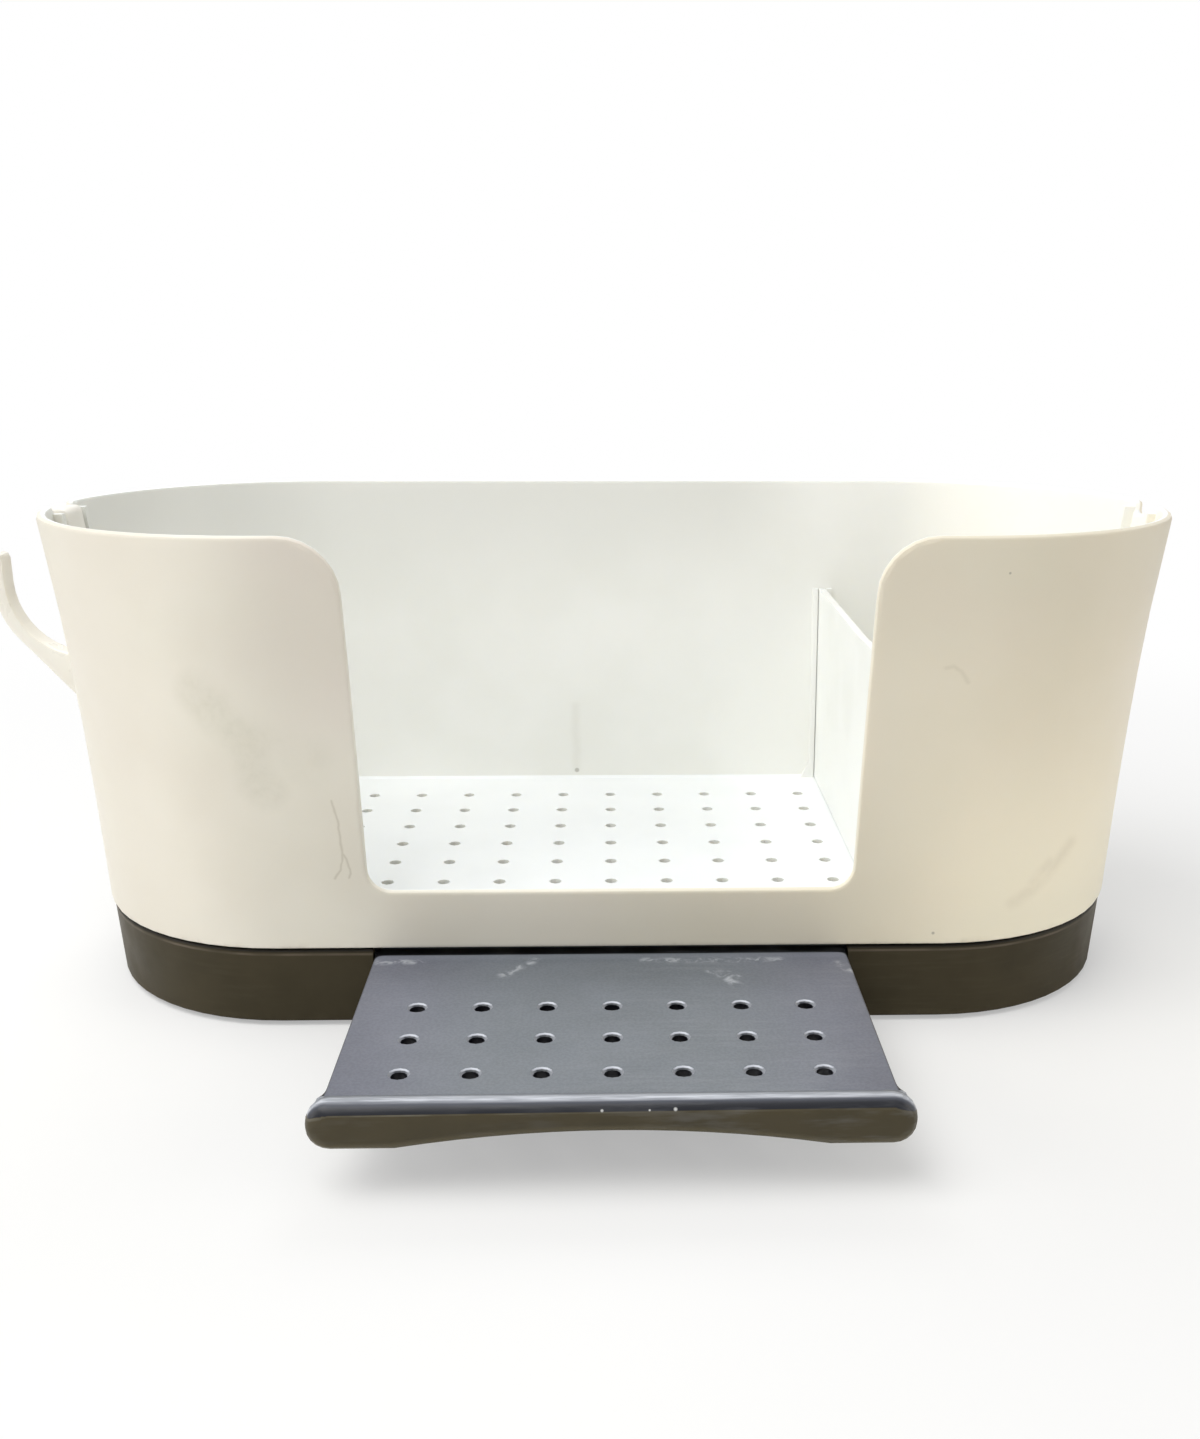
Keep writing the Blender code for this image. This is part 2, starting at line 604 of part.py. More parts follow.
def make_base(material):
    round_centre = (BASE_BOTTOM_RADIUS - BASE_LOWER_ROUND, BASE_LOWER_ROUND)
    lower_round = arc(round_centre, BASE_LOWER_ROUND, -HALF_TURN / 2, 0, BASE_ROUND_STEPS)
    upper_centre = (BASE_TOP_RADIUS - BASE_UPPER_ROUND, BASE_HEIGHT - BASE_UPPER_ROUND)
    upper_round = arc(upper_centre, BASE_UPPER_ROUND, 0, HALF_TURN / 2, BASE_ROUND_STEPS)
    inner_low = BASE_FLOOR + BASE_INNER_CHAMFER
    profile = [(0, 0)] + lower_round + upper_round
    profile += [(BASE_TOP_RADIUS - BASE_WALL, BASE_HEIGHT),
                (base_radius(inner_low) - BASE_WALL, inner_low),
                (base_radius(BASE_FLOOR) - BASE_WALL - BASE_INNER_CHAMFER, BASE_FLOOR), (0, BASE_FLOOR)]
    shell = stadium_solid(bmesh.new(), profile, BASE_ARC_STEPS)
    base = add_object("base_housing", shell, (0, 0, 0), material)
    mirror_both(base)
    for side, label in ((-1, "left"), (1, "right")):
        boolean(base, make_channel("channel_" + label, side), "UNION")
    slot_half = TRAY_HALF_WIDTH + SLIDE_SIDE_GAP
    slot_low = (-slot_half, -(BASE_TOP_RADIUS + OVERRUN), TRAY_UNDER_Z - SLIDE_SIDE_GAP)
    slot_high = (slot_half, -(base_radius(TRAY_UNDER_Z) - BASE_WALL - OVERRUN / 2), BASE_HEIGHT + OVERRUN)
    boolean(base, helper_box("tray_slot", slot_low, slot_high), "DIFFERENCE")
    sockets = bmesh.new()
    for x, y in foot_places():
        depth = FOOT_SOCKET + OVERRUN
        place = Matrix.Translation((x, y, FOOT_SOCKET - depth / 2))
        radius = FOOT_RADIUS + FOOT_GAP
        bmesh.ops.create_cone(sockets, cap_ends=True, segments=FOOT_SIDES, radius1=radius, radius2=radius,
                              depth=depth, matrix=place)
    boolean(base, add_object("foot_sockets", sockets, helper=True), "DIFFERENCE")
    return base


def make_channel(name, side):
    """C-shaped runner: a shelf under the tray's edge, a side wall and a lip."""
    side_in = TRAY_HALF_WIDTH + STOP_PROUD + SLIDE_SIDE_GAP
    side_out = side_in + CHANNEL_WALL
    shelf_in = side_in - CHANNEL_SHELF
    lip_in = TRAY_HALF_WIDTH - CHANNEL_LIP_OVERLAP
    shelf_top = TRAY_UNDER_Z - SLIDE_GAP
    lip_under = TRAY_TOP_Z + SLIDE_GAP
    lip_top = lip_under + CHANNEL_LIP
    bottom = BASE_FLOOR / 2
    outline = [(shelf_in, bottom), (side_out, bottom), (side_out, lip_top), (lip_in, lip_top),
               (lip_in, lip_under), (side_in, lip_under), (side_in, shelf_top), (shelf_in, shelf_top)]
    front = -(base_radius(0) - BASE_WALL / 2)
    rear = base_radius(BASE_FLOOR) - BASE_WALL - CHANNEL_REAR_GAP
    mirrored = [(side * across, height) for across, height in outline]
    return add_object(name, prism_mesh(mirrored, "Y", front, rear), helper=True)


def foot_places():
    x = ARC_CENTRE_X + BASE_BOTTOM_RADIUS - FOOT_INSET_X
    y = BASE_BOTTOM_RADIUS - FOOT_INSET_Y
    return [(-x, -y), (x, -y), (-x, y), (x, y)]


def make_feet(material):
    labels = ("front_left", "front_right", "rear_left", "rear_right")
    top = FOOT_SOCKET - FOOT_GAP
    height = FOOT_PROUD + top
    for label, (x, y) in zip(labels, foot_places()):
        bm = bmesh.new()
        place = Matrix.Translation((x, y, top - height / 2))
        bmesh.ops.create_cone(bm, cap_ends=True, segments=FOOT_SIDES, radius1=FOOT_RADIUS,
                              radius2=FOOT_RADIUS, depth=height, matrix=place)
        foot = add_object("foot_" + label, bm, (x, y, 0), material)
        bevel(foot, FOOT_EDGE_ROUND, 1)


def tray_plate_outline():
    """Half plan of the tray plate, from the front's middle round to the rear's."""
    quarter = HALF_TURN / 2
    front = BAR_BACK_Y - BAR_DEPTH / 2
    below_corner = BAR_CORNER_RADIUS - BAR_RIDGE
    bar_reach = BAR_HALF_WIDTH - BAR_CORNER_RADIUS + math.sqrt(BAR_CORNER_RADIUS ** 2 - below_corner ** 2)
    flare = bar_reach - TRAY_HALF_WIDTH
    rear_centre = (TRAY_HALF_WIDTH - TRAY_REAR_RADIUS, TRAY_REAR_Y - TRAY_REAR_RADIUS)
    points = [(bar_reach, front)]
    points += [(bar_reach + flare * across, BAR_BACK_Y + BAR_FLARE_LENGTH * (1 + along))
               for across, along in arc((0, 0), 1, -quarter, -HALF_TURN, BAR_ARC_STEPS)]
    points += arc(rear_centre, TRAY_REAR_RADIUS, 0, quarter, BAR_ARC_STEPS)
    return points


def bar_outline():
    """Front view of the pull bar: round corners and a shallow arch for the fingers."""
    quarter = HALF_TURN / 2
    across = BAR_HALF_WIDTH - BAR_CORNER_RADIUS
    points = []
    for step in range(GRIP_STEPS + 1):
        share = 2 * step / GRIP_STEPS - 1
        points.append((share * GRIP_HALF_WIDTH, BAR_BOTTOM_Z + GRIP_RISE * (1 - share ** 2)))
    lower_centre = (across, BAR_BOTTOM_Z + BAR_CORNER_RADIUS)
    upper_centre = (across, BAR_TOP_Z - BAR_CORNER_RADIUS)
    end = arc(lower_centre, BAR_CORNER_RADIUS, -quarter, 0, BAR_ARC_STEPS)
    end += arc(upper_centre, BAR_CORNER_RADIUS, 0, quarter, BAR_ARC_STEPS)
    return points + end + [(-x, z) for x, z in reversed(end)]


def make_tray(material):
    half = tray_plate_outline()
    outline = half + [(-x, y) for x, y in reversed(half)]
    plate = prism_mesh(outline, "Z", TRAY_UNDER_Z, TRAY_TOP_Z)
    tray = add_object("pull_out_tray", plate, (0, BAR_BACK_Y, TRAY_TOP_Z), material)
    bevel(tray, TRAY_EDGE_ROUND, 2)
    bar_mesh = prism_mesh(bar_outline(), "Y", BAR_BACK_Y - BAR_DEPTH, BAR_BACK_Y)
    bar = add_object("pull_bar", bar_mesh, helper=True)
    bevel(bar, BAR_EDGE_ROUND, 3)
    boolean(tray, bar, "UNION")
    stop_front = -(base_radius(TRAY_TOP_Z) - BASE_WALL - SLIDE_GAP)
    for side, label in ((-1, "left"), (1, "right")):
        inner = side * (TRAY_HALF_WIDTH - OVERRUN)
        outer = side * (TRAY_HALF_WIDTH + STOP_PROUD)
        low = (min(inner, outer), stop_front, TRAY_UNDER_Z + TRAY_EDGE_ROUND / 2)
        high = (max(inner, outer), stop_front + STOP_LENGTH, TRAY_TOP_Z - TRAY_EDGE_ROUND / 2)
        boolean(tray, helper_box("stop_" + label, low, high), "UNION")
    holes = bmesh.new()
    first_y = BAR_BACK_Y + TRAY_HOLE_SETBACK
    for column in range(TRAY_HOLE_COLUMNS):
        for row in range(TRAY_HOLE_ROWS):
            x = (column - (TRAY_HOLE_COLUMNS - 1) / 2) * TRAY_HOLE_PITCH_X
            add_countersunk_hole(holes, x, first_y + row * TRAY_HOLE_PITCH_Y)
    bmesh.ops.recalc_face_normals(holes, faces=holes.faces)
    boolean(tray, add_object("tray_holes", holes, helper=True), "DIFFERENCE")
    return tray


def add_countersunk_hole(bm, x, y):
    """Turn the cutter of one hole with a small chamfer at the plate's top."""
    mouth = TRAY_TOP_Z - TRAY_HOLE_CHAMFER
    wide = TRAY_HOLE_RADIUS + TRAY_HOLE_CHAMFER + OVERRUN
    profile = [(0, TRAY_TOP_Z + OVERRUN), (wide, TRAY_TOP_Z + OVERRUN), (TRAY_HOLE_RADIUS, mouth),
               (TRAY_HOLE_RADIUS, TRAY_UNDER_Z - OVERRUN), (0, TRAY_UNDER_Z - OVERRUN)]
    verts = [bm.verts.new((x + radius, y, height)) for radius, height in profile]
    edges = [bm.edges.new(pair) for pair in zip(verts, verts[1:])]
    bmesh.ops.spin(bm, geom=verts + edges, cent=(x, y, 0), axis=(0, 0, 1), angle=2 * HALF_TURN,
                   steps=TRAY_HOLE_SIDES)
    bmesh.ops.remove_doubles(bm, verts=bm.verts, dist=WELD)


def build():
    global collection, cutters
    clear_scene()
    collection = new_collection("kitchen_organizer")
    cutters = new_collection("cutters")
    white = plastic("warm_white_plastic", (0.80, 0.78, 0.72), 0.42)
    divider_white = plastic("divider_plastic", (0.84, 0.84, 0.81), 0.38)
    hook_white = plastic("hook_plastic", (0.83, 0.82, 0.79), 0.38)
    grey = plastic("charcoal_plastic", (0.062, 0.051, 0.032), 0.45)
    tray_grey = plastic("tray_plastic", (0.125, 0.13, 0.145), 0.4)
    rubber = plastic("foot_rubber", (0.03, 0.03, 0.03), 0.85)
    make_base(grey)
    make_feet(rubber)
    make_tray(tray_grey)
    make_tub(white)
    make_divider(divider_white)
    make_hook(hook_white)


build()
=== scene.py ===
"""The looks of the kitchen sink organizer: studio, camera and moulded-plastic materials
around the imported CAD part. The frame's units are metres, +Z up, -Y the open front."""
import math

import bmesh
import bpy
from mathutils import Matrix, Vector


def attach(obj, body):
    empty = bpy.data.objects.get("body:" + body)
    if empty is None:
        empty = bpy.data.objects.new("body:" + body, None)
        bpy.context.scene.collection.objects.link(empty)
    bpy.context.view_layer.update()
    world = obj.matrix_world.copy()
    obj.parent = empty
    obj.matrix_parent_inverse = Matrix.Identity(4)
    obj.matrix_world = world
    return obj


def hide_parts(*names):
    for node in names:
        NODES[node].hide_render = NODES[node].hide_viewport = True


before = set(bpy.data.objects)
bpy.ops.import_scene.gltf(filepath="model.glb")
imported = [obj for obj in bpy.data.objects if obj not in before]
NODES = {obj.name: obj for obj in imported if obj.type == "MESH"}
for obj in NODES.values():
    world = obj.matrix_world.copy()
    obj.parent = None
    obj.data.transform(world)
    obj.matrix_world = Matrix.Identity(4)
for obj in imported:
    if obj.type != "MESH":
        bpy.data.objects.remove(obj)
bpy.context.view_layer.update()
MM = 0.001

# Camera, as fitted to the photograph's outlines and hole grids
CAMERA_PLACE = (-0.62 * MM, -371.92 * MM, 162.42 * MM)
CAMERA_PITCH = math.radians(15.914)
CAMERA_YAW = math.radians(1.511)
CAMERA_ROLL = math.radians(-0.172)
CAMERA_SHIFT = (-0.03706, 0.01723)
CAMERA_LENS = 42.973
CAMERA_SENSOR = 36.0
CAMERA_NEAR = 0.01
CAMERA_FAR = 100.0

# Levels of the object that the materials refer to
FLOOR_LEVEL = -1.2 * MM
BASE_TOP_Z = 19.5 * MM
SEAM_Z = 19.8 * MM
RIM_Z = 119.7 * MM
ARC_CENTRE_X = 80.2 * MM
TRAY_TOP_Z = 18.1 * MM
TRAY_HALF_WIDTH = 57.0 * MM
BAR_BACK_Y = -119.4 * MM
BAR_FRONT_Y = -126.0 * MM

# The tub's outer skin: its distance from the middle line or from the centre of a round end,
# at the seam and at the rim, and the depth over which the outer colour ends
TUB_SKIN_LOW = 52.4 * MM
TUB_SKIN_HIGH = 58.0 * MM
TUB_SKIN_FADE = 1.2 * MM

# The painted shadow line across the tray where it comes out of the base, with its rounded ends
SHADE_Y = -53.3 * MM
SHADE_RADIUS = 2.5 * MM

# Mesh work: the sharpest angle that still shades as round, the gap under which points are
# one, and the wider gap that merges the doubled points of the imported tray
SMOOTH_BELOW = math.radians(35)
WELD_REACH = 0.001 * MM
TRAY_WELD = 0.015 * MM

# Marks of use seen in the photograph, in millimetres. Specks and chips are the share of the
# radius that is full, and each one's place and radius. Strokes are groups of a width, a
# strength and the lines, and a line on an upright wall is given by x and height.
TUB_SPECKS = (0.5, (
    ((77.6, -53.9, 23.0), 0.5),
    ((-10.3, 52.1, 32.0), 0.9),
    ((88.1, -60.4, 111.5), 0.4),
))
BAR_CHIPS = (0.3, (
    ((-2.1, -125.7, 17.9), 0.4),
    ((12.1, -125.6, 18.0), 0.5),
    ((7.1, -125.7, 17.9), 0.3),
))
FRONT_RUBS = (
    (7.5, 1.0, (((-93.0, 84.0), (-86.5, 76.5), (-81.5, 71.0), (-80.0, 61.0)),)),
    (9.0, 0.45, (((-82.0, 72.0), (-69.0, 68.0)),)),
)
FRONT_SMEARS = (
    (3.0, 0.45, (((97.0, 29.5), (102.5, 32.6), (107.6, 36.8), (112.3, 42.4)),
                 ((102.5, 34.6), (106.4, 38.2)))),
)
FRONT_SCRATCHES = (
    (0.5, 1.0, (((-64.2, 58.0), (-63.4, 52.2), (-62.7, 44.8), (-63.9, 40.6), (-65.2, 38.4)),
                ((-62.7, 44.8), (-61.3, 40.8), (-61.6, 38.6)))),
    (0.8, 0.45, (((75.5, 89.6), (77.4, 90.0), (79.6, 88.8), (81.0, 86.2)),)),
)
BACK_SCRATCHES = ((2.4, 0.3, (((-10.3, 33.0), (-10.7, 52.0)),)),)
# Scuff marks on the tray; the two lines along its rear edge at about y -57.5 are painted light
TRAY_SCUFFS_AND_PAINTED_LIGHT = (
    (2.2, 1.0, (((-25.0, -65.0, 18.1), (-18.5, -56.6, 18.1)),
                ((23.5, -64.0, 18.1), (29.5, -66.5, 18.1)),
                ((26.0, -66.0, 18.1), (29.0, -72.0, 18.1)),
                ((-57.0, -57.5, 18.1), (-46.0, -57.3, 18.1)),
                ((54.0, -60.0, 18.1), (58.4, -66.7, 18.1)),
                ((8.0, -57.6, 18.1), (40.0, -57.6, 18.1)))),
)

# How far a stroke is shaken from side to side, and in how many waves a metre
STROKE_SHAKE = 1.6 * MM
STROKE_SHAKE_SCALE = 260.0

# Painted shade and light on the tub's outer wall: painted shade beside the opening, at the left end
# and at the upper right, and painted warm light at the lower right. Each gives strength, sRGB
# colour, whether it keeps to the front, and the fades from 0 to 1 that bound it, in millimetres
# along an axis
OUTER_PAINTED_SHADE_AND_LIGHT = (
    (0.6, (214, 205, 194), True, (("x", -90.0, -68.0), ("x", -40.0, -56.0), ("z", 60.0, 95.0))),
    (0.7, (217, 211, 198), False, (("x", -98.0, -122.0),)),
    (0.4, (213, 206, 188), True, (("x", 40.0, 60.0), ("z", 82.0, 112.0))),
    (0.9, (250, 241, 218), False, (("x", 45.0, 95.0), ("z", 90.0, 35.0), ("y", 10.0, -20.0))),
)
INNER_SHADE = (("z", 75.0, 119.7), ("x", 70.0, 30.0))

# Pairs of sRGB colours that a surface drifts between; some are painted light or shade, as marked
DRIFTS = {
    "tub_inside": ((241, 241, 236), (237, 237, 231)),
    # The tub's floor, facing up, in cooler painted light
    "tub_floor": ((240, 243, 243), (236, 239, 239)),
    "tub_left": ((231, 226, 213), (225, 219, 205)),
    "tub_right": ((234, 225, 205), (229, 220, 198)),
    "divider": ((243, 244, 240), (238, 239, 234)),
    "hook": ((237, 234, 225), (230, 226, 216)),
    "base": ((63, 56, 39), (55, 49, 33)),
    "tray_body": ((66, 58, 36), (58, 51, 31)),
    # The painted sheen on the tray's flat top
    "painted_sheen_middle": ((104, 110, 117), (98, 104, 110)),
    "painted_sheen_sides": ((106, 109, 121), (99, 102, 114)),
    # Painted shade and painted highlight on the bar's bead
    "bead_painted_shade": ((18, 20, 28), (72, 75, 84)),
    "bead_painted_highlight": ((150, 154, 162), (196, 200, 208)),
    "rubber": ((38, 38, 38), (52, 51, 49)),
}

# What lies over a surface's own colour, marks and painted shade or light alike: how strongly it
# shows, and its sRGB colour
COATS = {
    # Painted shade high on the inner walls, and painted light at their right end
    "inner_shade": (1.0, (224, 224, 218)),
    "painted_light_right_end": (1.0, (252, 250, 241)),
    "tinge": (0.1, (224, 225, 203)),
    "seam_darkening": (0.35, (150, 138, 112)),
    "rub": (0.25, (150, 148, 116)),
    "scratch": (0.28, (146, 134, 102)),
    "speck": (0.5, (126, 120, 104)),
    "white_wear": (0.08, (186, 184, 172)),
    # Painted shade at the base's top edge, and a painted highlight line under it
    "base_painted_seam_shade": (1.0, (24, 20, 14)),
    "base_painted_edge_highlight": (1.0, (128, 116, 104)),
    "base_dust": (0.15, (120, 112, 92)),
    "base_wear": (0.06, (112, 106, 88)),
    # Speckle in the tray's painted sheen
    "painted_sheen_speckle": (1.0, (170, 174, 182)),
    # Painted light on the bar's faces that turn under
    "bar_underside_painted_light": (1.0, (80, 72, 46)),
    "bar_worn_line": (1.0, (138, 136, 126)),
    # Painted highlights on the tray's hole lips and edges
    "tray_painted_edge_highlight": (1.0, (206, 210, 219)),
    # Painted light and painted shadow across the rear of the tray
    "tray_rear_painted_light": (0.16, (186, 190, 200)),
    "tray_painted_rear_shadow": (1.0, (14, 14, 18)),
    # Scuff marks and painted light on the tray
    "tray_scuff_and_painted_light": (0.62, (196, 200, 206)),
    "tray_wear": (0.12, (150, 152, 156)),
    "tray_chip": (0.8, (215, 216, 214)),
}

# The tray's sides and hole insides in painted shade, and the rear of the bead on its bar in painted
# sheen, as sRGB
TRAY_PAINTED_SHADE_SIDES = (8, 9, 17)
BEAD_REAR_PAINTED_SHEEN = (108, 112, 120)

# Noise patterns: waves in a metre, detail, roughness and distortion, then the two levels
# between which the pattern goes from 0 to 1, or from and to the last two numbers
PATTERNS = {
    "inner_drift": (30.0, 3.0, 0.5, 0.0, 0.35, 0.7),
    "aged_drift": (17.0, 3.0, 0.55, 0.0, 0.38, 0.68),
    "white_drift": (40.0, 3.0, 0.5, 0.0, 0.35, 0.7),
    "base_drift": (45.0, 4.0, 0.6, 0.0, 0.3, 0.75),
    "tray_drift": (55.0, 4.0, 0.6, 0.0, 0.3, 0.75),
    "tinge": (24.0, 2.0, 0.5, 0.4, 0.4, 0.65),
    "seam_darkening": (120.0, 4.0, 0.7, 0.0, 0.45, 0.75),
    "rub_cloud": (95.0, 5.0, 0.62, 0.0, 0.36, 0.62, 0.35, 1.0),
    "wiped_patches": (22.0, 2.0, 0.5, 0.0, 0.4, 0.65),
    # Gaps in the painted highlight line at the base's top edge
    "top_highlight_gaps": (60.0, 3.0, 0.5, 0.0, 0.35, 0.6, 0.1, 0.4),
    "base_dust": (160.0, 4.0, 0.7, 0.0, 0.4, 0.75),
    "painted_sheen_speckle": (1500.0, 1.0, 0.5, 0.0, 0.35, 0.65, 0.0, 0.07),
    "scuff_gaps": (380.0, 3.0, 0.6, 0.6, 0.42, 0.7),
    "tub_satin": (70.0, 4.0, 0.6, 0.0, 0.3, 0.75, 0.36, 0.47),
    "divider_satin": (90.0, 3.0, 0.6, 0.0, 0.3, 0.75, 0.34, 0.44),
    "hook_satin": (90.0, 3.0, 0.6, 0.0, 0.3, 0.75, 0.26, 0.36),
    "base_satin": (80.0, 4.0, 0.6, 0.0, 0.3, 0.75, 0.4, 0.52),
    "tray_satin": (85.0, 4.0, 0.6, 0.0, 0.3, 0.75, 0.32, 0.44),
    "rubber_satin": (500.0, 2.0, 0.5, 0.0, 0.3, 0.7, 0.75, 0.9),
}

# The rubber's colour follows a plain noise: waves in a metre and detail
RUBBER_MOTTLE = (300.0, 3.0)

# Stretched patterns: waves in a metre along x, y and z, the turn of those axes, and the levels
STRETCHED = {
    "tub_wiping": ((60.0, 60.0, 900.0), (0.1, 0.0, 0.3), 0.45, 0.7),
    "white_wiping": ((900.0, 60.0, 60.0), (0.0, 0.4, 0.1), 0.45, 0.7),
    "base_wiping": ((70.0, 70.0, 900.0), (0.1, 0.2, 0.0), 0.45, 0.7),
    "tray_wiping": ((70.0, 700.0, 400.0), (0.0, 0.0, 0.35), 0.45, 0.7),
    "crest_streak": ((90.0, 1500.0, 1500.0), (0.0, 0.0, 0.0), 0.35, 0.65),
    "worn_line_gaps": ((60.0, 1.0, 1.0), (0.0, 0.0, 0.0), 0.35, 0.7),
}
STRETCHED_DETAIL = 3.0
STRETCHED_ROUGHNESS = 0.6

# Where a mask starts and where it is full, from 0 to 1 or from and to the last two numbers:
# first in metres along the object, then by the part of a face's normal that points up, to
# the rear (below 0 to the front) or sideways
FADES = {
    "front_y": (-20.0 * MM, -30.0 * MM),
    "back_y": (30.0 * MM, 40.0 * MM),
    "left_to_right_x": (-60.0 * MM, 90.0 * MM),
    "painted_light_right_end_x": (84.0 * MM, 104.0 * MM),
    "seam_darkening_z": (SEAM_Z, SEAM_Z + 2.2 * MM, 1.0, 0.0),
    # Heights of the painted shade and of the painted highlight line at the base's top edge
    "base_seam_shade_z": (BASE_TOP_Z - 0.9 * MM, BASE_TOP_Z - 0.3 * MM),
    "edge_highlight_lower_z": (BASE_TOP_Z - 1.7 * MM, BASE_TOP_Z - 1.3 * MM),
    "edge_highlight_upper_z": (BASE_TOP_Z - 0.8 * MM, BASE_TOP_Z - 1.1 * MM),
    "base_dust_z": (3.0 * MM, 0.0),
    "painted_sheen_sides_x": (20.0 * MM, 54.0 * MM),
    "worn_line_x": (10.0 * MM, -20.0 * MM, 0.1, 0.45),
    "bar_y": (BAR_BACK_Y, BAR_BACK_Y - 0.3 * MM),
    "hole_lip_z": (TRAY_TOP_Z - 0.4 * MM, TRAY_TOP_Z - 0.2 * MM),
    "rear_painted_light_y": (SHADE_Y - 4.5 * MM, SHADE_Y - 1.0 * MM),
    "rear_shadow_edge": (-0.7 * MM, -0.1 * MM),
    "rear_shadow_end_y": (SHADE_Y + 4.5 * MM, SHADE_Y + 3.0 * MM),
    "floor_glow": (0.14, 0.5, 0.4, 1.0),
    "outward": (-0.2, 0.5),
    "tub_floor_up": (0.3, 0.8),
    "tray_top_up": (0.55, 0.97),
    "underside_up": (-0.1, -0.6),
    "bead_up": (0.36, 0.42),
    "worn_line_lower_up": (0.24, 0.32),
    "worn_line_upper_up": (0.4, 0.36),
    "edge_lower_up": (0.25, 0.5),
    "edge_upper_up": (0.97, 0.85),
    "slope_rear": (-0.7, -0.35),
    "crest_rear": (-0.42, -0.08),
    "crest_streaks_rear": (0.3, -0.1),
    "hole_lip_rear": (0.0, -0.6),
    "side_edge_sideways": (0.3, 0.7),
}
SIDE_EDGE_STRENGTH = 0.35

# Skins: what full wear adds to the roughness, which is the skin's satin pattern, and the
# strength of the fine relief with the waves in a metre of its grain and its orange peel
SKINS = {
    "tub": (0.06, 0.25, 2400.0, 260.0),
    "divider": (0.08, 0.2, 2400.0, 260.0),
    "hook": (0.08, 0.2, 2400.0, 260.0),
    "base": (0.0, 0.35, 2000.0, 320.0),
    "tray": (0.0, 0.35, 2000.0, 320.0),
    "rubber": (0.0, 0.5, 2400.0, 260.0),
}
GRAIN_SHARE = 0.45
GRAIN_ROUGHNESS = 0.6
RELIEF_DETAIL = 2.0
RELIEF_DEPTH = 0.02 * MM

# Settings that are the same all over a surface: light scattered just under the white skin,
# and the gloss of the dark plastics
GLOW_THROUGH = {
    "Subsurface Weight": 0.3,
    "Subsurface Scale": 1.5 * MM,
    "Subsurface Radius": (1.0, 0.95, 0.85),
}
BASE_GLOSS = {"Specular IOR Level": 0.15}
TRAY_GLOSS = {"Specular IOR Level": 0.32}

# Light levels. Lamps: name, place, size, power and colour
AMBIENT = 0.38
AMBIENT_TONE = (0.97, 0.98, 1.0, 1.0)
WHITE = (1, 1, 1, 1)
LAMPS = (
    ("key_top", (-0.4, -0.3, 0.92), (0.9, 0.7), 7.6, (1.0, 0.995, 0.985)),
    ("fill_left", (-1.1, -0.35, 0.40), (0.7, 0.7), 3.5, (1.0, 0.98, 0.95)),
    ("fill_right", (1.1, -0.35, 0.40), (0.7, 0.7), 3.0, (1.0, 0.955, 0.87)),
    ("back_top", (0.0, 0.7, 0.80), (0.9, 0.5), 2.5, (0.98, 0.99, 1.0)),
)
LAMP_AIM = (0, 0, 0.05)
FLOOR_TONE = (0.85, 0.85, 0.84, 1.0)
FLOOR_SIZE = 20.0


def srgb(red, green, blue):
    """An sRGB colour of 0 to 255 as linear values."""
    def one(value):
        value /= 255
        return value / 12.92 if value <= 0.04045 else ((value + 0.055) / 1.055) ** 2.4
    return (one(red), one(green), one(blue), 1.0)


